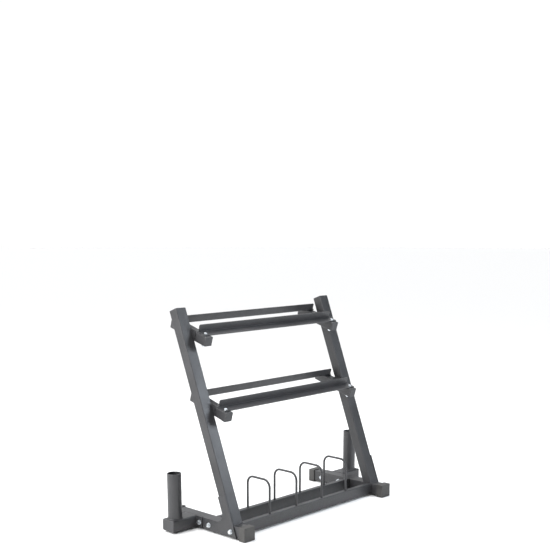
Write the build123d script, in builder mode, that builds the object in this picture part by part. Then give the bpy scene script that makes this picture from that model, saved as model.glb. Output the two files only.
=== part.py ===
"""Two-tier dumbbell rack with a plate-storage base and a bar holder on each side.

Two welded side frames (foot, leaning upright, gusset and two tray arms) are tied together by two base
rails and four angle rails, all bolted.  Millimetres, +X to the right, +Y to the back, +Z up.  The origin
is on the floor, in the middle of the rack's width and depth.
"""

import os
from math import cos, radians, sin, tan

from build123d import *

os.makedirs("parts", exist_ok=True)

# ---- driving dimensions -------------------------------------------------------------------------

frame_width = 966.0  # over the foot caps
floor_gap = 7.0  # floor to the underside of the steel
plate_thickness = 5.0  # gusset and flange plates, and the side walls of the foot caps
plate_edge_round = 0.8  # of the outer edges of the gusset and flange plates
tube_wall = 2.0
tube_corner = 3.0  # outer corner radius of the square tubes

foot_length = 460.0  # over the caps
foot_size = 50.0
foot_cap_length = 33.0
foot_cap_size = 60.0
foot_cap_corner = 2.0
foot_cap_round = 1.0  # of the edges of its end face

lean = 21.0  # of the uprights, back from vertical
upright_width = 54.0  # flush with the foot outside, and a little over it inside
upright_depth = 45.0
upright_foot_y = 67.8  # front end of the foot to the upright's front face, on top of the foot
upright_top = 924.0  # height of the front top edge

gusset_lead = 0.5  # how far the gusset's edge stands ahead of the upright
gusset_rise = 180.0  # height of the gusset's front top corner
gusset_rear_y = 248.0
gusset_fillet = 34.0

base_rail_depth = 25.0
base_rail_height = 50.0
base_rail_corner = 3.0
front_rail_y = 81.5  # centre line, from the front end of the foot
rear_rail_y = 213.5
base_bolt_z = 30.0
nut_block_length = 12.0
nut_block_gap = 1.5  # between a nut block and the walls of its rail

divider_count = 4
divider_pitch = 168.0
divider_rod = 10.0
divider_rise = 150.0
divider_bend = 34.0

arm_tilt = 16.5  # front end lower
arm_size = 40.0
arm_length = 226.0
arm_reach = 76.0  # front end of an arm, ahead of the upright at the same height
arm_plate_thickness = 3.0
arm_plate_length = 76.0
arm_plate_height = 52.0
arm_plate_corner = 6.0
tier_heights = {"middle": 503.4, "top": 805.8}  # front top edge of the arms

tray_thickness = 4.0
tray_shelf = 46.0  # width of the flange on the arms
tray_lip = 34.0  # height of the standing flange
tray_margin = 16.0  # arm end to the edge of the shelf
tray_lip_setback = 9.0  # end of the lip, in from the end of the shelf
tray_bolt_in = 12.0  # from the outer edge of the shelf to the bolt
tray_bend = 1.5  # inner radius of the bend between the shelf and the lip
tray_lip_round = 5.0
tray_lip_foot = 2.0  # what is left of the lip above the shelf, at its cut-back ends

holder_y = 325.0  # centre of the bar holder
holder_width = 70.0
holder_height = 50.0
holder_reach = 125.0  # length of the tube outside the flange
holder_wall = 3.0
holder_corner = 5.0
flange_length = 138.0
flange_height = 48.0
flange_bolt_spread = 106.0
flange_corner = 2.0
socket_outer = 60.3
socket_bore = 53.0
socket_height = 195.0
socket_rim_round = 0.8
socket_x = 88.5  # centre, outside the foot caps

plug_head = 3.0
plug_bevel = 2.0
plug_depth = 16.0
plug_clearance = 0.2  # between a plug's skirt and the wall of its tube
skirt_wall = 3.0
skirt_corner = 3.5

# M10 and M8 hardware: shank, hole, across flats, head, washer diameter and thickness, nut
m10 = {"shank": 10.0, "hole": 11.0, "flats": 16.0, "head": 6.4, "washer": 21.0, "washer_t": 2.0, "nut": 8.4}
m8 = {"shank": 8.0, "hole": 9.0, "flats": 13.0, "head": 5.3, "washer": 17.0, "washer_t": 1.6, "nut": 6.8}
divider_screw = 6.0
divider_screw_grip = 20.0
divider_screw_head = 10.5
divider_screw_head_height = 3.2
divider_screw_round = 1.2
divider_screw_clearance = 0.25
divider_hole_extra = 2.0  # depth of the tapped hole beyond the screw
bolt_overrun = 3.0  # how far a bolt's end stands past its nut or nut block
cut_over = 1.0  # how far a cutting tool starts outside the metal

# ---- positions that follow ----------------------------------------------------------------------

half_width = frame_width / 2
steel_top = floor_gap + foot_size  # top of the feet, the base rails and the bar holders
outer_face = half_width - plate_thickness  # outer face of the foot tubes
inner_face = outer_face - foot_size
upright_inner = outer_face - upright_width
arm_outer = upright_inner - arm_plate_thickness
arm_centre = arm_outer - arm_size / 2
lean_slope = tan(radians(lean))
tilt_sin = sin(radians(arm_tilt))
tilt_cos = cos(radians(arm_tilt))


def upright_front(z):
    """The uprights' front face at height z, measured from the front end of the feet."""
    return upright_foot_y + (z - steel_top) * lean_slope


def arm_front(tier):
    """Front top edge of a tier's arms, measured from the front end of the feet."""
    return upright_front(tier_heights[tier]) - arm_reach


overall_depth = arm_front("top") + arm_length * tilt_cos + (arm_size - plug_bevel) * tilt_sin
front = -overall_depth / 2  # the front end of the feet in the rack's own frame

sides = {"left": -1, "right": 1}


def span(side, inner, outer):
    """The lowest and highest x of a slab between two distances from the middle, on one side."""
    ends = (sides[side] * inner, sides[side] * outer)
    return min(ends), max(ends)


def arm_plane(tier, x=0.0, along=0.0, above=0.0):
    """Plane across the arms of a tier: local x runs along the arm to its rear, local y stands up from it."""
    y = front + arm_front(tier) + along * tilt_cos - above * tilt_sin
    z = tier_heights[tier] + along * tilt_sin + above * tilt_cos
    return Plane(origin=(x, y, z), x_dir=(0, tilt_cos, tilt_sin), z_dir=(1, 0, 0))


def lean_plane(z, along=0.0):
    """Plane square to the uprights, through their front face at height z, local y pointing back."""
    y = front + upright_front(z) + along * sin(radians(lean))
    axis = (0, sin(radians(lean)), cos(radians(lean)))
    return Plane(origin=(0, y, z + along * cos(radians(lean))), x_dir=(1, 0, 0), z_dir=axis)


def save(part, name):
    """Label one finished piece and write it as its own STEP file."""
    part.label = name
    export_step(part, f"parts/{name}.step")


def tube_profile(width, height, wall, corner):
    """Closed hollow section, added to the sketch that is being drawn."""
    RectangleRounded(width, height, corner)
    RectangleRounded(width - 2 * wall, height - 2 * wall, corner - wall, mode=Mode.SUBTRACT)


def outward_edges(builder, side):
    """The outer outline of the face that looks away from the rack's middle."""
    face = builder.faces().sort_by(Axis.X)[0 if side == "left" else -1]
    return face.outer_wire().edges()


def skirt_profile(width, height, wall):
    """Hollow skirt of a plug for a tube of that outer size and wall, added to the sketch."""
    inset = 2 * (wall + plug_clearance)
    tube_profile(width - inset, height - inset, skirt_wall, skirt_corner)


# ---- side frames --------------------------------------------------------------------------------


def foot_tube(side):
    """Front-to-back foot: square tube drilled across for the base rails and the bar holder."""
    low, high = span(side, inner_face, outer_face)
    section = Plane(
        origin=((low + high) / 2, front + plate_thickness, floor_gap + foot_size / 2),
        x_dir=(1, 0, 0),
        z_dir=(0, 1, 0),
    )
    bolt_ys = [front_rail_y, rear_rail_y]
    bolt_ys += [holder_y - flange_bolt_spread / 2, holder_y + flange_bolt_spread / 2]
    with BuildPart() as tube:
        with BuildSketch(section):
            tube_profile(foot_size, foot_size, tube_wall, tube_corner)
        extrude(amount=foot_length - 2 * plate_thickness)
        with BuildSketch(Plane.YZ.offset(low - cut_over)):
            with Locations(*[(front + y, base_bolt_z) for y in bolt_ys]):
                Circle(m10["hole"] / 2)
        extrude(amount=foot_size + 2 * cut_over, mode=Mode.SUBTRACT)
    return tube.part


def foot_cap(side, end):
    """Moulded cap that wraps one end of a foot and is what stands on the floor."""
    low, high = span(side, inner_face - plate_thickness, half_width)
    outer = front if end == "front" else front + foot_length
    inward = 1 if end == "front" else -1
    face = Plane(origin=((low + high) / 2, outer, 0), x_dir=(inward, 0, 0), z_dir=(0, inward, 0))
    upward = face.y_dir.Z
    with BuildPart() as cap:
        with BuildSketch(face):
            with Locations((0, upward * foot_cap_size / 2)):
                RectangleRounded(foot_cap_size, foot_cap_size, foot_cap_corner)
        extrude(amount=foot_cap_length)
        end_face = cap.faces().sort_by(Axis.Y)[0 if end == "front" else -1]
        fillet(end_face.edges(), radius=foot_cap_round)
        with BuildSketch(face.offset(plate_thickness)):
            with Locations((0, upward * (floor_gap + foot_size / 2))):
                RectangleRounded(foot_size, foot_size, tube_corner)
        extrude(amount=foot_cap_length, mode=Mode.SUBTRACT)
    return cap.part


def upright(side):
    """Leaning tube: cut level where it stands on the foot, and square at the top."""
    low, high = span(side, upright_inner, outer_face)
    top_plane = lean_plane(upright_top, -plug_head)
    run = (upright_top - steel_top) / cos(radians(lean)) + upright_depth
    with BuildPart() as post:
        with BuildSketch(top_plane):
            with Locations(((low + high) / 2, upright_depth / 2)):
                tube_profile(upright_width, upright_depth, tube_wall, tube_corner)
        extrude(amount=-run)
        split(bisect_by=Plane.XY.offset(steel_top), keep=Keep.TOP)
    return post.part


def upright_plug(side):
    """Plug that closes the top of an upright: bevelled head and a hollow skirt."""
    low, high = span(side, upright_inner, outer_face)
    seat = lean_plane(upright_top, -plug_head)
    centre = ((low + high) / 2, upright_depth / 2)
    with BuildPart() as plug:
        with BuildSketch(seat):
            with Locations(centre):
                RectangleRounded(upright_width, upright_depth, tube_corner)
        extrude(amount=plug_head)
        chamfer(plug.faces().sort_by(Axis(seat.origin, seat.z_dir))[-1].edges(), length=plug_bevel)
        with BuildSketch(seat):
            with Locations(centre):
                skirt_profile(upright_width, upright_depth, tube_wall)
        extrude(amount=-plug_depth)
    return plug.part


def gusset(side):
    """Plate over the outer faces of the foot and the upright, with a concave corner behind."""
    low, high = span(side, outer_face, half_width)
    rear_slope_foot = upright_depth / cos(radians(lean))
    lead = gusset_lead

    def edge_front(z):
        return front + upright_front(z) - lead

    def edge_rear(z):
        return front + upright_front(z) + rear_slope_foot

    rise_rear = gusset_rise - (upright_depth + lead) * sin(radians(lean))
    with BuildPart() as plate:
        with BuildSketch(Plane.YZ.offset(low)) as outline:
            with BuildLine():
                Polyline(
                    (edge_front(floor_gap), floor_gap),
                    (front + gusset_rear_y, floor_gap),
                    (front + gusset_rear_y, steel_top),
                    (edge_rear(steel_top), steel_top),
                    (edge_rear(rise_rear), rise_rear),
                    (edge_front(gusset_rise), gusset_rise),
                    close=True,
                )
            make_face()
            corner = outline.vertices().sort_by_distance((edge_rear(steel_top), steel_top))[0]
            fillet(corner, radius=gusset_fillet)
            with Locations((front + front_rail_y, base_bolt_z), (front + rear_rail_y, base_bolt_z)):
                Circle(m10["hole"] / 2, mode=Mode.SUBTRACT)
        extrude(amount=high - low)
        fillet(outward_edges(plate, side), radius=plate_edge_round)
    return plate.part


# ---- tray arms ----------------------------------------------------------------------------------

shelf_bolt_alongs = (tray_margin + tray_bolt_in, arm_length - tray_margin - tray_bolt_in)


def arm_plate(side, tier):
    """Thin plate that joins an arm to the inner face of its upright."""
    low, high = span(side, arm_outer, upright_inner)
    crossing = (arm_reach + upright_depth / 2) / tilt_cos
    middle = -arm_size / 2
    with BuildPart() as plate:
        with BuildSketch(arm_plane(tier, x=low)):
            with Locations((crossing, middle)):
                RectangleRounded(arm_plate_length, arm_plate_height, arm_plate_corner)
        extrude(amount=high - low)
    return plate.part


def tray_arm(side, tier):
    """Tilted square tube that carries the ends of two tray rails."""
    centre = sides[side] * arm_centre
    start = arm_plane(tier, x=centre, along=plug_head, above=-arm_size / 2)
    section = Plane(origin=start.origin, x_dir=(1, 0, 0), z_dir=start.x_dir)
    top = arm_plane(tier, x=centre, above=cut_over)
    with BuildPart() as arm:
        with BuildSketch(section):
            tube_profile(arm_size, arm_size, tube_wall, tube_corner)
        extrude(amount=arm_length - 2 * plug_head)
        with BuildSketch(Plane(origin=top.origin, x_dir=(1, 0, 0), z_dir=top.y_dir)):
            with Locations(*[(0, along) for along in shelf_bolt_alongs]):
                Circle(m8["hole"] / 2)
        extrude(amount=-(arm_size + 2 * cut_over), mode=Mode.SUBTRACT)
    return arm.part


def arm_plug(side, tier, end):
    """Plug in one end of a tray arm: bevelled square head and a hollow skirt."""
    along = plug_head if end == "front" else arm_length - plug_head
    out = -1 if end == "front" else 1
    seat = arm_plane(tier, x=sides[side] * arm_centre, along=along, above=-arm_size / 2)
    section = Plane(origin=seat.origin, x_dir=(1, 0, 0), z_dir=seat.x_dir)
    with BuildPart() as plug:
        with BuildSketch(section):
            RectangleRounded(arm_size, arm_size, tube_corner)
        extrude(amount=out * plug_head)
        end_face = plug.faces().sort_by(Axis(section.origin, section.z_dir * out))[-1]
        chamfer(end_face.edges(), length=plug_bevel)
        with BuildSketch(section):
            skirt_profile(arm_size, arm_size, tube_wall)
        extrude(amount=-out * plug_depth)
    return plug.part


def tray_rail(tier, place):
    """Angle rail: a shelf bolted to the arms and a lip that stands along its inner edge."""
    half = arm_outer
    if place == "front":
        edge, inner_edge = tray_margin, tray_margin + tray_shelf
        bolt_along = shelf_bolt_alongs[0]
        toward = -1
    else:
        edge, inner_edge = arm_length - tray_margin, arm_length - tray_margin - tray_shelf
        bolt_along = shelf_bolt_alongs[1]
        toward = 1
    lip_outer = inner_edge + toward * tray_thickness
    profile = [
        (edge, 0),
        (inner_edge, 0),
        (inner_edge, tray_lip),
        (lip_outer, tray_lip),
        (lip_outer, tray_thickness),
        (edge, tray_thickness),
    ]
    lip_face = arm_plane(tier, along=inner_edge)
    lip_plane = Plane(origin=lip_face.origin, x_dir=(1, 0, 0), z_dir=-lip_face.x_dir)
    shelf = arm_plane(tier)
    with BuildPart() as rail:
        with BuildSketch(arm_plane(tier, x=-half)) as section:
            with BuildLine():
                Polyline(*profile, close=True)
            make_face()
            bend = section.vertices().sort_by_distance((inner_edge, 0))[0]
            fillet(bend, radius=tray_thickness + tray_bend)
            root = section.vertices().sort_by_distance((lip_outer, tray_thickness))[0]
            fillet(root, radius=tray_bend)
        extrude(amount=2 * half)
        with BuildSketch(lip_plane):
            for end in (-1, 1):
                with Locations((end * half, tray_lip)):
                    Rectangle(2 * tray_lip_setback, 2 * (tray_lip - tray_thickness - tray_lip_foot))
        extrude(amount=tray_thickness + cut_over, both=True, mode=Mode.SUBTRACT)
        lip_corners = rail.edges().filter_by(lambda e: abs(e.length - tray_thickness) < 0.01)
        fillet(lip_corners.filter_by(lambda e: abs(e.center().X) < half - 1), radius=tray_lip_round)
        with BuildSketch(Plane(origin=shelf.origin, x_dir=(1, 0, 0), z_dir=shelf.y_dir)):
            with Locations((-arm_centre, bolt_along), (arm_centre, bolt_along)):
                Circle(m8["hole"] / 2)
        extrude(amount=tray_thickness + cut_over, both=True, mode=Mode.SUBTRACT)
    return rail.part


# ---- base rails and plate dividers --------------------------------------------------------------

divider_xs = [(i - (divider_count - 1) / 2) * divider_pitch for i in range(divider_count)]


def base_rail(place):
    """Rectangular tube between the feet, drilled top and bottom for the dividers."""
    y = front + (front_rail_y if place == "front" else rear_rail_y)
    centre_z = floor_gap + base_rail_height / 2
    section = Plane(origin=(-inner_face, y, centre_z), x_dir=(0, 1, 0), z_dir=(1, 0, 0))
    with BuildPart() as rail:
        with BuildSketch(section):
            tube_profile(base_rail_depth, base_rail_height, tube_wall, base_rail_corner)
        extrude(amount=2 * inner_face)
        with BuildSketch(Plane.XY.offset(floor_gap - cut_over)):
            with Locations(*[(x, y) for x in divider_xs]):
                Circle(divider_screw / 2 + divider_screw_clearance)
        extrude(amount=base_rail_height + 2 * cut_over, mode=Mode.SUBTRACT)
    return rail.part


def rail_nut_blocks():
    """Threaded blocks welded into the four ends of the base rails."""
    inset = 2 * (tube_wall + nut_block_gap)
    with BuildPart() as blocks:
        for side in sides:
            low = span(side, inner_face - nut_block_length, inner_face)[0]
            with BuildSketch(Plane.YZ.offset(low)):
                for y in (front + front_rail_y, front + rear_rail_y):
                    with Locations((y, floor_gap + base_rail_height / 2)):
                        Rectangle(base_rail_depth - inset, base_rail_height - inset)
                    with Locations((y, base_bolt_z)):
                        Circle(m10["shank"] / 2, mode=Mode.SUBTRACT)
            extrude(amount=nut_block_length)
    return blocks.part


def divider(x):
    """Hoop of round bar that stands on both base rails, tapped from below in each leg."""
    y_front = front + front_rail_y
    y_rear = front + rear_rail_y
    top = steel_top + divider_rise - divider_rod / 2
    with BuildPart() as hoop:
        with BuildLine():
            FilletPolyline(
                (x, y_front, steel_top),
                (x, y_front, top),
                (x, y_rear, top),
                (x, y_rear, steel_top),
                radius=divider_bend,
            )
        with BuildSketch(Plane(origin=(x, y_front, steel_top), z_dir=(0, 0, 1))):
            Circle(divider_rod / 2)
        sweep()
        with BuildSketch(Plane.XY.offset(steel_top)):
            with Locations((x, y_front), (x, y_rear)):
                Circle(divider_screw / 2)
        extrude(amount=divider_screw_grip + divider_hole_extra, mode=Mode.SUBTRACT)
    return hoop.part


def divider_screws():
    """Screws that come up through the base rails into the legs of the dividers."""
    places = [(x, front + y) for x in divider_xs for y in (front_rail_y, rear_rail_y)]
    with BuildPart() as screws:
        with BuildSketch(Plane.XY.offset(floor_gap)):
            with Locations(*places):
                Circle(divider_screw / 2)
        extrude(amount=base_rail_height + divider_screw_grip)
        with BuildSketch(Plane.XY.offset(floor_gap)):
            with Locations(*places):
                Circle(divider_screw_head / 2)
        extrude(amount=-divider_screw_head_height)
        rims = screws.faces().sort_by(Axis.Z)[: len(places)].edges()
        fillet(rims, radius=divider_screw_round)
    return screws.part


# ---- bar holders --------------------------------------------------------------------------------


def holder_flange(side):
    """Plate that bolts a bar holder to the outer face of the foot."""
    low, high = span(side, outer_face, half_width)
    centre_z = floor_gap + foot_size / 2
    with BuildPart() as plate:
        with BuildSketch(Plane.YZ.offset(low)):
            with Locations((front + holder_y, centre_z)):
                RectangleRounded(flange_length, flange_height, flange_corner)
            with Locations((front + holder_y, base_bolt_z)):
                with GridLocations(flange_bolt_spread, 1, 2, 1):
                    Circle(m10["hole"] / 2, mode=Mode.SUBTRACT)
        extrude(amount=high - low)
        fillet(outward_edges(plate, side), radius=plate_edge_round)
    return plate.part


def holder_tube(side):
    """Tube that stands out sideways from the foot at floor level."""
    low = span(side, half_width, half_width + holder_reach)[0]
    centre = (front + holder_y, floor_gap + holder_height / 2)
    with BuildPart() as tube:
        with BuildSketch(Plane.YZ.offset(low)):
            with Locations(centre):
                tube_profile(holder_width, holder_height, holder_wall, holder_corner)
        extrude(amount=holder_reach)
    return tube.part


def holder_plug(side):
    """Plug in the outer end of a bar holder's tube."""
    seat = sides[side] * (half_width + holder_reach)
    centre = (front + holder_y, floor_gap + holder_height / 2)
    with BuildPart() as plug:
        with BuildSketch(Plane.YZ.offset(seat)):
            with Locations(centre):
                RectangleRounded(holder_width, holder_height, holder_corner)
        extrude(amount=sides[side] * plug_head)
        end_face = plug.faces().sort_by(Axis.X)[0 if side == "left" else -1]
        chamfer(end_face.edges(), length=plug_bevel)
        with BuildSketch(Plane.YZ.offset(seat)):
            with Locations(centre):
                skirt_profile(holder_width, holder_height, holder_wall)
        extrude(amount=-sides[side] * plug_depth)
    return plug.part


def bar_socket(side):
    """Upright round tube, open at the top, that takes the sleeve of a bar."""
    with BuildPart() as socket:
        with BuildSketch(Plane.XY.offset(steel_top)):
            with Locations((sides[side] * (half_width + socket_x), front + holder_y)):
                Circle(socket_outer / 2)
                Circle(socket_bore / 2, mode=Mode.SUBTRACT)
        extrude(amount=socket_height)
        fillet(socket.faces().sort_by(Axis.Z)[-1].edges(), radius=socket_rim_round)
    return socket.part


# ---- fasteners ----------------------------------------------------------------------------------


def hardware(planes, size, kind, reach=0.0):
    """One group of like fasteners.  Each plane lies on the seat, its normal pointing out to the head."""
    with BuildPart() as group:
        for plane in planes:
            if kind == "washer":
                with BuildSketch(plane):
                    Circle(size["washer"] / 2)
                    Circle(size["hole"] / 2, mode=Mode.SUBTRACT)
                extrude(amount=size["washer_t"])
            if kind == "bolt":
                with BuildSketch(plane):
                    RegularPolygon(size["flats"] / 2, 6, major_radius=False)
                extrude(amount=size["head"])
                with BuildSketch(plane):
                    Circle(size["shank"] / 2)
                extrude(amount=-reach)
            if kind == "nut":
                with BuildSketch(plane):
                    RegularPolygon(size["flats"] / 2, 6, major_radius=False)
                    Circle(size["shank"] / 2, mode=Mode.SUBTRACT)
                extrude(amount=size["nut"])
    return group.part


def side_seats(ys, distance, outward=True):
    """Planes facing sideways on both sides of the rack, at bolt height."""
    planes = []
    for sign in sides.values():
        for y in ys:
            normal = (sign if outward else -sign, 0, 0)
            seat = (sign * distance, front + y, base_bolt_z)
            planes.append(Plane(origin=seat, x_dir=(0, 1, 0), z_dir=normal))
    return planes


def shelf_seats(above, up=True):
    """Planes on the tray shelves, or under the arms, at the eight tray bolts."""
    planes = []
    for tier in tier_heights:
        for sign in sides.values():
            for along in shelf_bolt_alongs:
                seat = arm_plane(tier, x=sign * arm_centre, along=along, above=above)
                normal = seat.y_dir if up else -seat.y_dir
                planes.append(Plane(origin=seat.origin, x_dir=(1, 0, 0), z_dir=normal))
    return planes


base_ys = (front_rail_y, rear_rail_y)
holder_ys = (holder_y - flange_bolt_spread / 2, holder_y + flange_bolt_spread / 2)
base_seat = half_width + m10["washer_t"]
base_reach = base_seat - inner_face + nut_block_length + bolt_overrun
holder_reach_in = base_seat - inner_face + m10["washer_t"] + m10["nut"] + bolt_overrun
under_arm = -(arm_size + m8["washer_t"])
tray_reach = tray_thickness - under_arm + m8["nut"] + bolt_overrun

# ---- write every piece --------------------------------------------------------------------------

for side in sides:
    save(foot_tube(side), f"{side}_foot_tube")
    save(foot_cap(side, "front"), f"{side}_front_foot_cap")
    save(foot_cap(side, "rear"), f"{side}_rear_foot_cap")
    save(upright(side), f"{side}_upright")
    save(upright_plug(side), f"{side}_upright_plug")
    save(gusset(side), f"{side}_gusset_plate")
    save(holder_flange(side), f"{side}_holder_flange")
    save(holder_tube(side), f"{side}_holder_tube")
    save(holder_plug(side), f"{side}_holder_plug")
    save(bar_socket(side), f"{side}_bar_socket")
    for tier in tier_heights:
        save(arm_plate(side, tier), f"{side}_{tier}_arm_plate")
        save(tray_arm(side, tier), f"{side}_{tier}_arm")
        save(arm_plug(side, tier, "front"), f"{side}_{tier}_arm_front_plug")
        save(arm_plug(side, tier, "rear"), f"{side}_{tier}_arm_rear_plug")

for place in ("front", "rear"):
    save(base_rail(place), f"{place}_base_rail")
    for tier in tier_heights:
        save(tray_rail(tier, place), f"{tier}_{place}_tray_rail")

for number, x in enumerate(divider_xs, start=1):
    save(divider(x), f"plate_divider_{number}")

save(rail_nut_blocks(), "base_rail_nut_blocks")
save(divider_screws(), "divider_screws")
save(hardware(side_seats(base_ys, half_width), m10, "washer"), "base_rail_washers")
save(hardware(side_seats(base_ys, base_seat), m10, "bolt", base_reach), "base_rail_bolts")
save(hardware(side_seats(holder_ys, half_width), m10, "washer"), "holder_outer_washers")
save(hardware(side_seats(holder_ys, base_seat), m10, "bolt", holder_reach_in), "holder_bolts")
save(hardware(side_seats(holder_ys, inner_face, outward=False), m10, "washer"), "holder_inner_washers")
nut_seat = inner_face - m10["washer_t"]
save(hardware(side_seats(holder_ys, nut_seat, outward=False), m10, "nut"), "holder_nuts")
save(hardware(shelf_seats(tray_thickness), m8, "bolt", tray_reach), "tray_bolts")
save(hardware(shelf_seats(-arm_size, up=False), m8, "washer"), "tray_washers")
save(hardware(shelf_seats(under_arm, up=False), m8, "nut"), "tray_nuts")
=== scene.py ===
"""Looks of the two-tier dumbbell rack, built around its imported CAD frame.  Metres, in the CAD's frame."""

import math
import random

import bmesh
import bpy
from mathutils import Matrix, Vector


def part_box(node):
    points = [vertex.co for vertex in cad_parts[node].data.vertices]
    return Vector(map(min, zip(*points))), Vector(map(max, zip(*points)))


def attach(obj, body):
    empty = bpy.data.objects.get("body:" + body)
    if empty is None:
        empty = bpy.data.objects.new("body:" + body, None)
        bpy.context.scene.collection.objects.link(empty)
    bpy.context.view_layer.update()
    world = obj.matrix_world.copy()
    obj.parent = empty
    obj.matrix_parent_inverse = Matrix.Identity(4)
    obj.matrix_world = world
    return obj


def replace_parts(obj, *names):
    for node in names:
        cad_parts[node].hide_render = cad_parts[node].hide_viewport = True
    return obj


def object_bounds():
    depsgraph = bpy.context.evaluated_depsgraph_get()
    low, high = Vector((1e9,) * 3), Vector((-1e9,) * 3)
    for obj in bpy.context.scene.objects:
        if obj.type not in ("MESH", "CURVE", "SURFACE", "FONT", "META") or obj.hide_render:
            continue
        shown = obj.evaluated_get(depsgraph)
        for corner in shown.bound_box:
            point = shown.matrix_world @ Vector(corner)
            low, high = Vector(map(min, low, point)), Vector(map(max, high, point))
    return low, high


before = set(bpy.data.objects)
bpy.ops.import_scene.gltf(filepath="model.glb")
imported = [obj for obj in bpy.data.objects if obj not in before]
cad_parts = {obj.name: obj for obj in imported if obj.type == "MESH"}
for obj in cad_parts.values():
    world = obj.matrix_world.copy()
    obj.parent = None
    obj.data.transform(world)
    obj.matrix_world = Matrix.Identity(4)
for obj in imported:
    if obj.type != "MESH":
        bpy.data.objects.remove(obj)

MM = 0.001
cad_low, cad_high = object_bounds()

# ---- the rack's own angles and places ----------------------------------------------------------

LEAN = math.radians(21.0)  # of the uprights, back from vertical
TILT = math.radians(16.5)  # of the tray arms, front end lower
UPRIGHT_DEPTH = 45.0 * MM
ARM_SIZE = 40.0 * MM
SIDES = {"left": -1, "right": 1}
TIERS = ("middle", "top")
LEAN_UP = Vector((0, math.sin(LEAN), math.cos(LEAN)))
LEAN_BACK = Vector((0, math.cos(LEAN), -math.sin(LEAN)))
ARM_BACK = Vector((0, math.cos(TILT), math.sin(TILT)))
ARM_UP = Vector((0, -math.sin(TILT), math.cos(TILT)))
RIGHT = Vector((1, 0, 0))
BACK = Vector((0, 1, 0))
UP = Vector((0, 0, 1))


def middle(node):
    """Centre of a CAD node's box."""
    low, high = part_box(node)
    return (low + high) / 2


# ---- node helpers ------------------------------------------------------------------------------


class Shader:
    """A small helper that adds and links nodes in one material."""

    def __init__(self, name):
        self.material = bpy.data.materials.new(name)
        self.material.use_nodes = True
        self.tree = self.material.node_tree
        self.surface = self.tree.nodes["Principled BSDF"]
        coords = self.add("ShaderNodeTexCoord")
        self.place = coords.outputs["Object"]

    def add(self, kind, **settings):
        node = self.tree.nodes.new(kind)
        for key, value in settings.items():
            setattr(node, key, value)
        return node

    def join(self, source, target):
        self.tree.links.new(source, target)

    def noise(self, scale, detail=2.0, rough=0.5, place=None):
        node = self.add("ShaderNodeTexNoise")
        node.inputs["Scale"].default_value = scale
        node.inputs["Detail"].default_value = detail
        node.inputs["Roughness"].default_value = rough
        self.join(place or self.place, node.inputs["Vector"])
        return node.outputs["Fac"]

    def stretched(self, x, y, z):
        node = self.add("ShaderNodeMapping")
        node.inputs["Scale"].default_value = (x, y, z)
        self.join(self.place, node.inputs["Vector"])
        return node.outputs["Vector"]

    def remap(self, value, low, high, to_low, to_high):
        node = self.add("ShaderNodeMapRange", clamp=True)
        self.join(value, node.inputs["Value"])
        numbers = (low, high, to_low, to_high)
        for key, number in zip(("From Min", "From Max", "To Min", "To Max"), numbers):
            node.inputs[key].default_value = number
        return node.outputs["Result"]

    def ramp(self, value, stops):
        node = self.add("ShaderNodeValToRGB")
        elements = node.color_ramp.elements
        while len(elements) < len(stops):
            elements.new(0.5)
        for element, (where, color) in zip(elements, stops):
            element.position = where
            element.color = (*color, 1)
        self.join(value, node.inputs["Fac"])
        return node.outputs["Color"]

    def blend(self, factor, first, second, kind="MIX"):
        node = self.add("ShaderNodeMix", data_type="RGBA", blend_type=kind)
        for socket, value in ((node.inputs[0], factor), (node.inputs[6], first), (node.inputs[7], second)):
            if isinstance(value, bpy.types.NodeSocket):
                self.join(value, socket)
            elif isinstance(value, float):
                socket.default_value = value
            else:
                socket.default_value = (*value, 1)
        return node.outputs[2]

    def math(self, kind, first, second):
        node = self.add("ShaderNodeMath", operation=kind)
        for socket, value in zip(node.inputs, (first, second)):
            if isinstance(value, bpy.types.NodeSocket):
                self.join(value, socket)
            else:
                socket.default_value = value
        return node.outputs[0]

    def rounded_edges(self, radius):
        """A normal that is smoothed across edges, and a mask that is 1 along them."""
        bevel = self.add("ShaderNodeBevel", samples=6)
        bevel.inputs["Radius"].default_value = radius
        geometry = self.add("ShaderNodeNewGeometry")
        dot = self.add("ShaderNodeVectorMath", operation="DOT_PRODUCT")
        self.join(bevel.outputs["Normal"], dot.inputs[0])
        self.join(geometry.outputs["Normal"], dot.inputs[1])
        mask = self.remap(dot.outputs["Value"], 0.999, 0.93, 0.0, 1.0)
        return bevel.outputs["Normal"], mask

    def bump(self, height, distance, strength, normal=None):
        node = self.add("ShaderNodeBump")
        node.inputs["Distance"].default_value = distance
        node.inputs["Strength"].default_value = strength
        self.join(height, node.inputs["Height"])
        if normal is not None:
            self.join(normal, node.inputs["Normal"])
        return node.outputs["Normal"]

    def finish(self, color=None, roughness=None, normal=None, **constants):
        for key, value in (("Base Color", color), ("Roughness", roughness), ("Normal", normal)):
            if isinstance(value, bpy.types.NodeSocket):
                self.join(value, self.surface.inputs[key])
            elif value is not None:
                self.surface.inputs[key].default_value = value
        for key, value in constants.items():
            self.surface.inputs[key.replace("_", " ")].default_value = value
        return self.material


# ---- materials ---------------------------------------------------------------------------------


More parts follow.
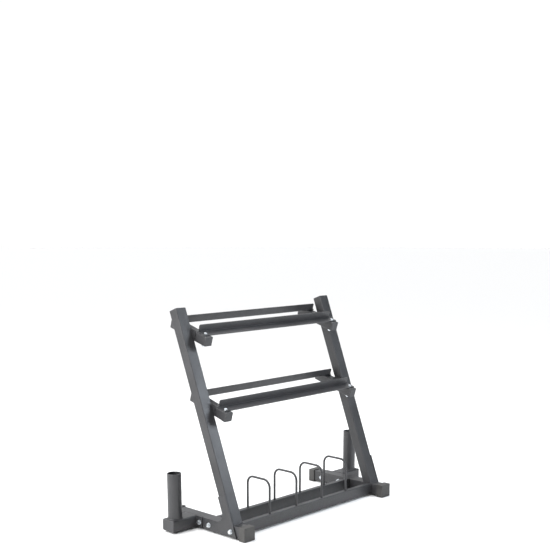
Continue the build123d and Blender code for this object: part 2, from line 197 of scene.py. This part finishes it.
def powder_coat(name, dark, light, edge, gloss):
    """Charcoal powder coat: fine orange peel, cloudy colour, pale specks, and glossier edges with a painted
    highlight along them.
    """
    s = Shader(name)
    clouds = s.noise(5.5, 3.0, 0.55)
    grain = s.noise(900.0, 2.0, 0.6)
    peel = s.noise(520.0, 2.0, 0.5)
    flow = s.noise(140.0, 1.0, 0.5)
    specks = s.noise(1500.0, 0.0, 0.5)
    color = s.ramp(clouds, [(0.32, dark), (0.70, light)])
    color = s.blend(s.remap(grain, 0.44, 0.66, 0.0, 0.35), color, light)
    color = s.blend(s.remap(specks, 0.70, 0.76, 0.0, 0.45), color, edge)
    soft_normal, edges = s.rounded_edges(0.5 * MM)
    # Painted highlight: the edges are painted paler, more strongly in some places than others, and made a
    # little glossier.
    edge_highlight = s.math("MULTIPLY", edges, s.remap(s.noise(42.0, 3.0, 0.6), 0.40, 0.62, 0.25, 1.0))
    color = s.blend(s.math("MULTIPLY", edge_highlight, 0.55), color, edge)
    scuffs = s.noise(38.0, 4.0, 0.7, s.stretched(1.0, 0.35, 0.35))
    rough = s.remap(clouds, 0.3, 0.7, *gloss)
    rough = s.math("ADD", rough, s.remap(scuffs, 0.55, 0.75, 0.0, 0.10))
    rough = s.math("SUBTRACT", rough, s.math("MULTIPLY", edge_highlight, 0.10))
    normal = s.bump(flow, 0.6 * MM, 0.10, soft_normal)
    normal = s.bump(peel, 0.35 * MM, 0.55, normal)
    return s.finish(color, rough, normal, Specular_IOR_Level=0.5)


def paler(color, times):
    return tuple(channel * times for channel in color)


def moulded_plastic(name, dark, light, grain_depth):
    """Black plastic with a spark-eroded grain, pale specks painted in for glints of light off the grain,
    and a painted highlight along its edges.
    """
    s = Shader(name)
    clouds = s.noise(9.0, 3.0, 0.6)
    grain = s.noise(1300.0, 2.0, 0.7)
    glint_specks = s.noise(380.0, 2.0, 0.7)
    color = s.ramp(clouds, [(0.30, dark), (0.72, light)])
    # Painted glints: pale specks painted into the colour for light catching the grain.
    color = s.blend(s.remap(glint_specks, 0.60, 0.72, 0.0, 0.40), color, paler(light, 2.1))
    soft_normal, edges = s.rounded_edges(0.6 * MM)
    # Painted highlight: the edges are painted paler.
    color = s.blend(s.math("MULTIPLY", edges, 0.30), color, paler(light, 1.9))
    rough = s.remap(grain, 0.3, 0.7, 0.50, 0.66)
    normal = s.bump(grain, 0.4 * MM, grain_depth, soft_normal)
    return s.finish(color, rough, normal, Specular_IOR_Level=0.45)


def zinc_plate():
    """Bright zinc on the fasteners: pale, slightly blue, with faint spangle and handling marks."""
    s = Shader("bright_zinc")
    clouds = s.noise(160.0, 3.0, 0.6)
    cells = s.add("ShaderNodeTexVoronoi", feature="F1")
    cells.inputs["Scale"].default_value = 520.0
    s.join(s.place, cells.inputs["Vector"])
    color = s.ramp(clouds, [(0.30, (0.60, 0.64, 0.68)), (0.72, (0.83, 0.86, 0.88))])
    color = s.blend(s.remap(cells.outputs["Distance"], 0.1, 0.8, 0.0, 0.16), color, (0.55, 0.60, 0.66))
    scratches = s.noise(240.0, 4.0, 0.75, s.stretched(1.0, 1.0, 5.0))
    rough = s.remap(scratches, 0.3, 0.7, 0.20, 0.40)
    normal = s.bump(scratches, 0.12 * MM, 0.30)
    return s.finish(color, rough, normal, Metallic=0.92)


STEEL_DARK = (0.024, 0.024, 0.0255)
STEEL_LIGHT = (0.038, 0.038, 0.0405)
# Pale colour of the fine specks and of the painted highlight along the coat's edges.
STEEL_SPECK_AND_HIGHLIGHT = (0.17, 0.172, 0.178)
TUBE_ROUGHNESS = (0.33, 0.43)
BEAD_ROUGHNESS = (0.28, 0.38)
coat = powder_coat("charcoal_powder_coat", STEEL_DARK, STEEL_LIGHT, STEEL_SPECK_AND_HIGHLIGHT, TUBE_ROUGHNESS)
bead_coat = powder_coat("powder_coat_on_welds", STEEL_DARK, STEEL_LIGHT, STEEL_SPECK_AND_HIGHLIGHT, BEAD_ROUGHNESS)
cap_plastic = moulded_plastic("foot_cap_plastic", (0.036, 0.035, 0.034), (0.062, 0.060, 0.057), 0.9)
plug_plastic = moulded_plastic("plug_plastic", (0.034, 0.034, 0.036), (0.052, 0.052, 0.055), 0.35)
zinc = zinc_plate()


def material_of(node):
    """A CAD node's material, from its name."""
    if any(word in node for word in ("bolts", "washers", "nuts", "screws")):
        return zinc
    if "foot_cap" in node:
        return cap_plastic
    if "plug" in node:
        return plug_plastic
    return coat


for node_name, node_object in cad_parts.items():
    slots = node_object.material_slots
    if not slots:
        node_object.data.materials.append(material_of(node_name))
    for material_slot in slots:
        material_slot.material = material_of(node_name)

# ---- mesh helpers ------------------------------------------------------------------------------


def add_piece(name, mesh, material):
    """Wraps a bmesh up as one piece that rides on the rack."""
    bmesh.ops.recalc_face_normals(mesh, faces=mesh.faces)
    data = bpy.data.meshes.new(name)
    mesh.to_mesh(data)
    mesh.free()
    data.materials.append(material)
    piece = bpy.data.objects.new(name, data)
    bpy.context.scene.collection.objects.link(piece)
    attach(piece, "root")
    return piece


def shade_smooth(piece, angle=40.0):
    """Smooth shading, with edges sharper than the angle kept."""
    data = piece.data
    for polygon in data.polygons:
        polygon.use_smooth = True
    data.set_sharp_from_angle(angle=math.radians(angle))


# ---- weld beads --------------------------------------------------------------------------------

RIPPLE = 1.7 * MM  # advance of one ripple of a bead
RIPPLE_STEPS = 4  # rings to a ripple
BEAD_SIDES = 10
BEAD_SINK = 0.35  # share of its height that a bead loses into its corner
TAPER_RINGS = 7  # over which an open bead's end tapers
RING_POINTS = 48  # corners of the path round a socket

# Radii of the beads.
SOCKET_BEAD = 3.0 * MM
FLANGE_BEAD = 2.6 * MM
UPRIGHT_BEAD = 2.5 * MM
ARM_BEAD = 2.4 * MM
ARM_PLATE_BEAD = 2.2 * MM
GUSSET_BEAD = 1.7 * MM


def resample(points, closed, step):
    """Evenly spaced points along a polyline, with the direction of travel at each."""
    corners = list(points) + ([points[0]] if closed else [])
    lengths = [(b - a).length for a, b in zip(corners, corners[1:])]
    total = sum(lengths)
    count = max(6, round(total / step))
    stations = []
    for i in range(count if closed else count + 1):
        goal = total * i / count
        for start, end, length in zip(corners, corners[1:], lengths):
            if goal <= length + 1e-9:
                stations.append((start.lerp(end, goal / length), (end - start).normalized()))
                break
            goal -= length
    return stations


def weld_bead(mesh, points, normal_at, radius, seed, closed):
    """Adds one rippled bead along a path.  normal_at(point) points out of the corner it fills."""
    draw = random.Random(seed)
    stations = resample(points, closed, RIPPLE / RIPPLE_STEPS)
    rings = []
    phase = draw.uniform(0, 1)
    wander = 0.0
    for index, (point, travel) in enumerate(stations):
        out = normal_at(point).normalized()
        across = travel.cross(out).normalized()
        wander = 0.9 * wander + draw.uniform(-0.05, 0.05)
        along = (index / RIPPLE_STEPS + phase) % 1.0
        ripple = 0.86 + 0.16 * math.sin(math.pi * along) + 0.25 * wander
        if not closed:
            from_end = min(index, len(stations) - 1 - index) / TAPER_RINGS
            ripple *= math.sqrt(min(1.0, 0.12 + from_end))
        ring = []
        for side in range(BEAD_SIDES):
            turn = 2 * math.pi * side / BEAD_SIDES
            lag = travel * (-0.30 * radius * max(0.0, math.cos(turn)))
            flat = out * math.cos(turn) * ripple * (1 - BEAD_SINK) + across * math.sin(turn) * ripple
            ring.append(mesh.verts.new(point + radius * flat + lag))
        rings.append(ring)
    pairs = list(zip(rings, rings[1:]))
    if closed:
        pairs.append((rings[-1], rings[0]))
    for first, second in pairs:
        for side in range(BEAD_SIDES):
            after = (side + 1) % BEAD_SIDES
            mesh.faces.new((first[side], first[after], second[after], second[side]))
    if not closed:
        mesh.faces.new(list(reversed(rings[0])))
        mesh.faces.new(rings[-1])


def always(direction):
    """The same way out of the corner at every point."""
    return lambda point: direction


def bead_piece(name, beads):
    """One piece made of several beads: each is (points, normal_at, radius, closed)."""
    mesh = bmesh.new()
    for number, (points, normal_at, radius, closed) in enumerate(beads):
        weld_bead(mesh, points, normal_at, radius, f"{name} {number}", closed)
    piece = add_piece(name, mesh, bead_coat)
    shade_smooth(piece, 70.0)
    return piece


def socket_beads(side):
    """Fillet weld round the foot of a bar socket."""
    low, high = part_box(f"{side}_bar_socket")
    centre = Vector(((low.x + high.x) / 2, (low.y + high.y) / 2, low.z + 0.9 * MM))
    radius = (high.x - low.x) / 2 + 1.0 * MM
    turns = [2 * math.pi * i / RING_POINTS for i in range(RING_POINTS)]
    ring = [centre + radius * Vector((math.cos(t), math.sin(t), 0)) for t in turns]
    return [(ring, lambda p: (p - centre).normalized() + UP, SOCKET_BEAD, True)]


def flange_beads(side):
    """Welds down both sides of a holder tube, against the flange plate."""
    sign = SIDES[side]
    low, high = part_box(f"{side}_holder_tube")
    face = low.x if sign > 0 else high.x
    beads = []
    for edge, way in ((low.y, -1), (high.y, 1)):
        heights = (low.z + 5 * MM, high.z - 5 * MM)
        line = [Vector((face + sign * 0.8 * MM, edge + way * 0.6 * MM, z)) for z in heights]
        beads.append((line, always(Vector((sign, way, 0))), FLANGE_BEAD, False))
    return beads


def upright_beads(side):
    """Welds in front of and behind an upright, where it stands on its foot."""
    low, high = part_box(f"{side}_upright")
    run = UPRIGHT_DEPTH / math.cos(LEAN)
    beads = []
    for y, way, rise in ((low.y, -1, 0.8), (low.y + run, 1, 1.0)):
        start = Vector((low.x + 4 * MM, y + way * 0.7 * MM, low.z + rise * MM))
        end = Vector((high.x - 4 * MM, start.y, start.z))
        beads.append(([start, end], always(Vector((0, way, 1))), UPRIGHT_BEAD, False))
    return beads


def gusset_beads(side):
    """Weld along the gusset's top edge, on the upright."""
    sign = SIDES[side]
    plate_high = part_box(f"{side}_gusset_plate")[1]
    post_low, post_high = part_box(f"{side}_upright")
    face = post_high.x if sign > 0 else post_low.x
    base = Vector((face + sign * 0.5 * MM, post_low.y, post_low.z))
    top_front = base + LEAN_UP * ((plate_high.z - post_low.z) / math.cos(LEAN))
    line = [top_front + LEAN_BACK * 6 * MM, top_front + LEAN_BACK * 37 * MM]
    return [(line, always(Vector((sign, 0, 0)) + LEAN_UP), GUSSET_BEAD, False)]


def arm_beads(side, tier):
    """Welds along the top and bottom of an arm on its plate, and of the plate on the upright's edges."""
    sign = SIDES[side]
    plate_low, plate_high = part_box(f"{side}_{tier}_arm_plate")
    centre = middle(f"{side}_{tier}_arm_plate")
    inner = plate_low.x if sign > 0 else plate_high.x
    outer = plate_high.x if sign > 0 else plate_low.x
    beads = []
    for way in (-1, 1):
        rise = ARM_SIZE / 2 + 0.4 * MM
        edge = Vector((inner - sign * 0.5 * MM, centre.y, centre.z)) + ARM_UP * (way * rise)
        line = [edge - ARM_BACK * 33 * MM, edge + ARM_BACK * 33 * MM]
        beads.append((line, always(Vector((-sign, 0, 0)) + ARM_UP * way), ARM_BEAD, False))
        half_depth = UPRIGHT_DEPTH / 2 - 0.5 * MM
        post = Vector((outer + sign * 1.0 * MM, centre.y, centre.z)) + LEAN_BACK * (way * half_depth)
        line = [post - LEAN_UP * 21 * MM, post + LEAN_UP * 21 * MM]
        beads.append((line, always(Vector((sign, 0, 0)) + LEAN_BACK * way), ARM_PLATE_BEAD, False))
    return beads


for side_name in SIDES:
    bead_piece(f"{side_name}_socket_weld", socket_beads(side_name))
    bead_piece(f"{side_name}_flange_welds", flange_beads(side_name))
    bead_piece(f"{side_name}_upright_welds", upright_beads(side_name))
    bead_piece(f"{side_name}_gusset_welds", gusset_beads(side_name))
    for tier_name in TIERS:
        bead_piece(f"{side_name}_{tier_name}_arm_welds", arm_beads(side_name, tier_name))

# ---- fasteners ---------------------------------------------------------------------------------

# Sizes in mm.  flats: across the hexagon; hole and washer: the washer's inner and outer diameter.
M10 = {
    "shank": 10.0, "pitch": 1.5, "flats": 16.0, "head": 6.4, "nut": 8.4,
    "hole": 11.0, "washer": 21.0, "washer_t": 2.0,
}
M8 = {
    "shank": 8.0, "pitch": 1.25, "flats": 13.0, "head": 5.3, "nut": 6.8,
    "hole": 9.0, "washer": 17.0, "washer_t": 1.6,
}


PIN_HOLE = 0.01 * MM  # radius left open on the axis of a solid turned shape
CHAMFER = math.radians(28)  # of a hexagon's ends
THREAD_DEPTH = 0.55  # of the pitch
TIP_CHAMFER = 0.9 * MM
ROWS_TO_A_PITCH = 6
HEX_STEPS = 72
CROWN_STEPS = 36
WASHER_STEPS = 48


def islands(node):
    """Points of each separate solid of a CAD node, found from its joined-up mesh."""
    mesh = bmesh.new()
    mesh.from_mesh(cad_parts[node].data)
    bmesh.ops.remove_doubles(mesh, verts=mesh.verts, dist=1e-6)
    found = []
    left = set(mesh.verts)
    while left:
        stack = [left.pop()]
        group = list(stack)
        while stack:
            for edge in stack.pop().link_edges:
                for vertex in edge.verts:
                    if vertex in left:
                        left.remove(vertex)
                        stack.append(vertex)
                        group.append(vertex)
        found.append([vertex.co.copy() for vertex in group])
    mesh.free()
    return sorted(found, key=lambda group: tuple(round(c, 4) for c in sum(group, Vector()) / len(group)))


def seats(node, axis):
    """For each solid of a fastener node: a point on its axis, and how far it reaches along the axis."""
    result = []
    turned = axis_frame(axis)
    for group in islands(node):
        local = [turned.inverted() @ point for point in group]
        low = Vector(min(p[i] for p in local) for i in range(3))
        high = Vector(max(p[i] for p in local) for i in range(3))
        centre = turned @ Vector(((low.x + high.x) / 2, (low.y + high.y) / 2, 0))
        result.append((centre, low.z, high.z))
    return result


def axis_frame(axis):
    """Rotation whose local z is the axis, with its local x near the rack's x, or y for a sideways axis."""
    z = axis.normalized()
    x = RIGHT if abs(z.x) < 0.9 else BACK
    y = z.cross(x).normalized()
    x = y.cross(z)
    return Matrix((x, y, z)).transposed()


def lathe(mesh, profile, place, steps, shape=None):
    """Turns a closed (radius, height) profile about an axis; shape(turn, radius, height) can bend it."""
    rings = []
    for i in range(steps):
        turn = 2 * math.pi * i / steps
        ring = []
        for radius, height in profile:
            r, h = shape(turn, radius, height) if shape else (radius, height)
            ring.append(mesh.verts.new(place @ Vector((r * math.cos(turn), r * math.sin(turn), h))))
        rings.append(ring)
    count = len(profile)
    for i in range(steps):
        first, second = rings[i], rings[(i + 1) % steps]
        for j in range(count):
            k = (j + 1) % count
            mesh.faces.new((first[j], second[j], second[k], first[k]))


def placed(centre, axis, along, spin):
    """Matrix that puts a fastener's local z on an axis, at a distance along it, with its flats turned."""
    turn = axis_frame(axis).to_4x4() @ Matrix.Rotation(spin, 4, "Z")
    return Matrix.Translation(centre + axis.normalized() * along) @ turn


def hexagon(flats):
    """Shape that keeps a lathe's radius inside a hexagon."""
    apothem = flats / 2

    def shape(turn, radius, height):
        sector = (turn + math.pi / 6) % (math.pi / 3) - math.pi / 6
        return min(radius, apothem / math.cos(sector)), height

    return shape


def hex_profile(flats, height, hole=0.0, both_ends=False):
    """Profile of a hexagon chamfered on top, or at both ends: its corners are cut to the chamfer's cone."""
    corner = flats / 2 / math.cos(math.pi / 6)
    inner = max(hole / 2, PIN_HOLE / MM)
    rim = flats / 2 * 0.95
    drop = (corner - rim) * math.tan(CHAMFER)
    low, high = (drop if both_ends else 0.0), height - drop
    profile = [(inner, 0.0)]
    profile += [(rim, 0.0), (corner, drop)] if both_ends else [(corner, 0.0)]
    profile += [(corner, low + (high - low) * share) for share in (0.25, 0.5, 0.75)]
    profile += [(corner, high), (corner - (corner - rim) / 2, height - drop / 2)]
    profile += [(rim, height), (inner, height)]
    return [(r * MM, h * MM) for r, h in profile]


def threaded_rod(mesh, place, radius, length, pitch):
    """Bolt threaded along its whole shank; local z runs from the tip, at 0, to the seat."""
    steps = 28
    rows = max(8, int(length / pitch * ROWS_TO_A_PITCH))
    rings = []
    for row in range(rows + 1):
        height = length * row / rows
        ring = []
        for i in range(steps):
            turn = i / steps
            wave = abs(((height / pitch - turn) % 1.0) * 2 - 1)
            cut = THREAD_DEPTH * pitch * wave
            tip = max(0.0, TIP_CHAMFER - height)
            r = max(radius - cut - tip, radius * 0.3)
            angle = 2 * math.pi * turn
            ring.append(mesh.verts.new(place @ Vector((r * math.cos(angle), r * math.sin(angle), height))))
        rings.append(ring)
    for first, second in zip(rings, rings[1:]):
        for i in range(steps):
            j = (i + 1) % steps
            mesh.faces.new((first[i], first[j], second[j], second[i]))
    mesh.faces.new(list(reversed(rings[0])))
    mesh.faces.new(rings[-1])


def fastener_piece(name, mesh):
    """One zinc-plated piece, smooth on its curves and sharp between its flats."""
    piece = add_piece(name, mesh, zinc)
    shade_smooth(piece, 32.0)
    return piece


def hex_bolts(name, seated, size, seed):
    """Hex bolts with chamfered heads and threaded ends, in place of the CAD's plain ones."""
    draw = random.Random(seed)
    mesh = bmesh.new()
    for centre, low, high, axis in seated:
        spin = draw.uniform(0, math.pi / 3)
        seat = high - size["head"] * MM
        place = placed(centre, axis, seat, spin)
        profile = hex_profile(size["flats"], size["head"])
        lathe(mesh, profile, place, HEX_STEPS, hexagon(size["flats"] * MM))
        crown = placed(centre, axis, high - 0.35 * MM, spin)
        dish = size["flats"] * 0.32 * MM
        raised = [(PIN_HOLE, 0), (dish, 0), (dish, 0.45 * MM)]
        raised += [(dish * 0.93, 0.60 * MM), (PIN_HOLE, 0.62 * MM)]
        lathe(mesh, raised, crown, CROWN_STEPS)
        tip = placed(centre, axis, low, spin)
        threaded_rod(mesh, tip, size["shank"] / 2 * MM, seat - low, size["pitch"] * MM)
    return fastener_piece(name, mesh)


def hex_nuts(name, seated, size, seed):
    """Hex nuts chamfered at both ends, in place of the CAD's plain ones."""
    draw = random.Random(seed)
    mesh = bmesh.new()
    for centre, low, _, axis in seated:
        profile = hex_profile(size["flats"], size["nut"], hole=size["shank"], both_ends=True)
        place = placed(centre, axis, low, draw.uniform(0, math.pi / 3))
        lathe(mesh, profile, place, HEX_STEPS, hexagon(size["flats"] * MM))
    return fastener_piece(name, mesh)


def flat_washers(name, seated, size):
    """Washers with the rounded upper and sharp lower rim that stamping leaves."""
    mesh = bmesh.new()
    r, hole, t = size["washer"] / 2 * MM, size["hole"] / 2 * MM, size["washer_t"] * MM
    roll = 0.35 * t
    profile = [(hole, 0.0), (r, 0.0), (r, t - roll), (r - 0.3 * roll, t - 0.3 * roll), (r - roll, t)]
    profile += [(hole + roll, t), (hole, t - roll)]
    for centre, low, _, axis in seated:
        lathe(mesh, profile, placed(centre, axis, low, 0.0), WASHER_STEPS)
    return fastener_piece(name, mesh)


def outward(node, back):
    """Seats of a node whose solids face away from the rack's middle, or back towards it."""
    found = []
    for centre, low, high in seats(node, RIGHT):
        way = 1 if (low + high) > 0 else -1
        if back:
            way = -way
        near, far = sorted((low * way, high * way))
        found.append((Vector((0, centre.y, centre.z)), near, far, RIGHT * way))
    return found


def upward(node, back):
    """Seats of a node whose solids face up, square to the tray arms, or back down."""
    axis = -ARM_UP if back else ARM_UP
    return [(centre, low, high, axis) for centre, low, high in seats(node, axis)]


fasteners = [
    # piece, maker, the CAD node it stands for, seats, whether they face back, size and seed
    ("base_bolts", hex_bolts, "base_rail_bolts", outward, False, (M10, 11)),
    ("holder_hex_bolts", hex_bolts, "holder_bolts", outward, False, (M10, 12)),
    ("tray_hex_bolts", hex_bolts, "tray_bolts", upward, False, (M8, 13)),
    ("base_flat_washers", flat_washers, "base_rail_washers", outward, False, (M10,)),
    ("holder_outer_flat_washers", flat_washers, "holder_outer_washers", outward, False, (M10,)),
    ("holder_inner_flat_washers", flat_washers, "holder_inner_washers", outward, True, (M10,)),
    ("tray_flat_washers", flat_washers, "tray_washers", upward, True, (M8,)),
    ("holder_hex_nuts", hex_nuts, "holder_nuts", outward, True, (M10, 14)),
    ("tray_hex_nuts", hex_nuts, "tray_nuts", upward, True, (M8, 15)),
]
for piece_name, maker, cad_node, seats_of, facing_back, details in fasteners:
    where = seats_of(cad_node, facing_back)
    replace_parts(maker(piece_name, where, *details), cad_node)

# ---- floor, light and camera -------------------------------------------------------------------

FLOOR_RADIUS = 39
BACKDROP_RADIUS = 40
BACKDROP_SIDE = Vector((-0.30, 0.92, 0.22)).normalized()  # where the room's light mostly comes from
ROOM_DIM = 0.10  # strength on the side away from it
ROOM_BRIGHT = 0.95
AIM = (0, 0, 0.4)  # what most lights point at


def studio_floor():
    """Pale, matt ground."""
    place = (0, 0, cad_low.z)
    bpy.ops.mesh.primitive_circle_add(vertices=96, radius=FLOOR_RADIUS, fill_type="NGON", location=place)
    floor = bpy.context.object
    floor.name = "studio_floor"
    s = Shader("pale_floor")
    s.finish((0.86, 0.86, 0.86, 1), 0.75, None, Specular_IOR_Level=0.2)
    floor.data.materials.append(s.material)


def studio_world():
    """Bright towards the backdrop, behind the rack, and dimmer on the side that faces the room."""
    world = bpy.data.worlds.new("studio")
    bpy.context.scene.world = world
    world.use_nodes = True
    tree = world.node_tree
    coords = tree.nodes.new("ShaderNodeTexCoord")
    dot = tree.nodes.new("ShaderNodeVectorMath")
    dot.operation = "DOT_PRODUCT"
    dot.inputs[1].default_value = BACKDROP_SIDE
    tree.links.new(coords.outputs["Generated"], dot.inputs[0])
    span = tree.nodes.new("ShaderNodeMapRange")
    span.interpolation_type = "SMOOTHSTEP"
    numbers = (-0.5, 0.7, ROOM_DIM, ROOM_BRIGHT)
    for key, number in zip(("From Min", "From Max", "To Min", "To Max"), numbers):
        span.inputs[key].default_value = number
    tree.links.new(dot.outputs["Value"], span.inputs["Value"])
    background = tree.nodes["Background"]
    background.inputs["Color"].default_value = (0.97, 0.985, 1.0, 1)
    tree.links.new(span.outputs["Result"], background.inputs["Strength"])


def white_backdrop():
    """Plain white all round, for the camera only: it neither lights nor shades the rack."""
    bpy.ops.mesh.primitive_uv_sphere_add(
        segments=48, ring_count=24, radius=BACKDROP_RADIUS, location=(0, 0, 0)
    )
    dome = bpy.context.object
    dome.name = "white_backdrop"
    s = Shader("plain_white")
    s.surface.inputs["Base Color"].default_value = (0, 0, 0, 1)
    s.surface.inputs["Emission Color"].default_value = (1, 1, 1, 1)
    s.surface.inputs["Emission Strength"].default_value = 1.0
    dome.data.materials.append(s.material)
    for ray in ("diffuse", "glossy", "transmission", "volume_scatter", "shadow"):
        setattr(dome, f"visible_{ray}", False)


def soft_light(name, location, target, size, power, color=(1, 1, 1)):
    """Rectangular light aimed at a point, that the camera doesn't see."""
    data = bpy.data.lights.new(name, "AREA")
    data.shape = "RECTANGLE"
    data.size, data.size_y = size
    data.energy = power
    data.color = color
    light = bpy.data.objects.new(name, data)
    light.location = location
    light.visible_camera = False
    light.rotation_euler = (Vector(target) - Vector(location)).to_track_quat("-Z", "Y").to_euler()
    bpy.context.scene.collection.objects.link(light)


def floor_sun():
    """Very soft light from above, that whitens the floor and leaves only a faint contact shadow."""
    data = bpy.data.lights.new("floor_sun", "SUN")
    data.energy = 2.1
    data.angle = math.radians(75)
    sun = bpy.data.objects.new("floor_sun", data)
    sun.rotation_euler = (math.radians(-18), math.radians(-14), 0)
    bpy.context.scene.collection.objects.link(sun)


def front_left_camera():
    """Camera in front of the rack's left end, a little above it, with the rack low in its picture."""
    data = bpy.data.cameras.new("camera")
    data.sensor_width = 36.0
    data.lens = 64.11
    data.shift_y = 0.2942
    camera = bpy.data.objects.new("camera", data)
    camera.location = (-3.1280, -2.9515, 1.2906)
    camera.rotation_euler = (math.radians(77.344), 0, math.radians(-46.30))
    bpy.context.scene.collection.objects.link(camera)
    bpy.context.scene.camera = camera


studio_floor()
studio_world()
white_backdrop()
soft_light("left_key", (-2.7, 0.55, 1.55), AIM, (1.4, 1.4), 70)
soft_light("front_softbox", (1.15, -1.8, 1.4), (-0.45, -0.05, 0.6), (0.9, 1.3), 34, (0.84, 0.91, 1.0))
soft_light("camera_side", (-3.3, -3.6, 2.7), AIM, (0.7, 1.2), 14)
soft_light("overhead", (0.2, 0.6, 3.6), AIM, (3.0, 3.0), 70)
floor_sun()
front_left_camera()
bpy.context.scene.view_settings.view_transform = "Standard"

bpy.context.view_layer.update()
